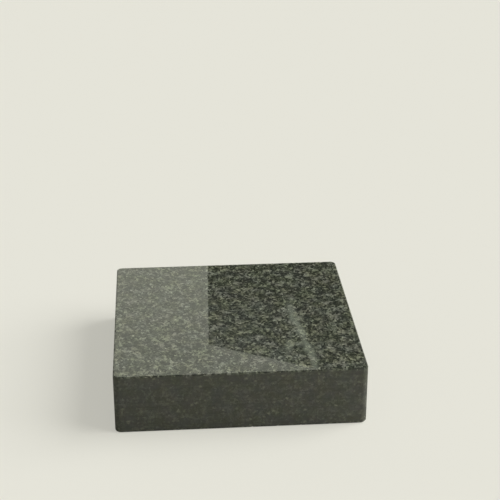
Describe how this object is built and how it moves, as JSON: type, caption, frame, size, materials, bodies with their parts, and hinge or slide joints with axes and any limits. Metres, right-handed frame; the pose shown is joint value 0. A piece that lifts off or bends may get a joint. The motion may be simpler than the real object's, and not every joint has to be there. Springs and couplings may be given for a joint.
{
  "type": "granite skirting block",
  "caption": "Square granite skirting block with a polished face, sawn edges and back, and eased arrises, bonded to a wall at floor level.",
  "frame": {"origin": "middle of the sawn back, which lies on the floor", "axes": "+X along the wall, +Y up the wall from the foot edge to the top edge, +Z from the sawn back to the polished face"},
  "size_m": [0.1, 0.1, 0.025],
  "materials": {
    "granite": "dark green-grey speckled granite, polished on the face, sawn on the edges and back"
  },
  "bodies": {
    "root": {"skirting_block": "granite"}
  },
  "joints": []
}
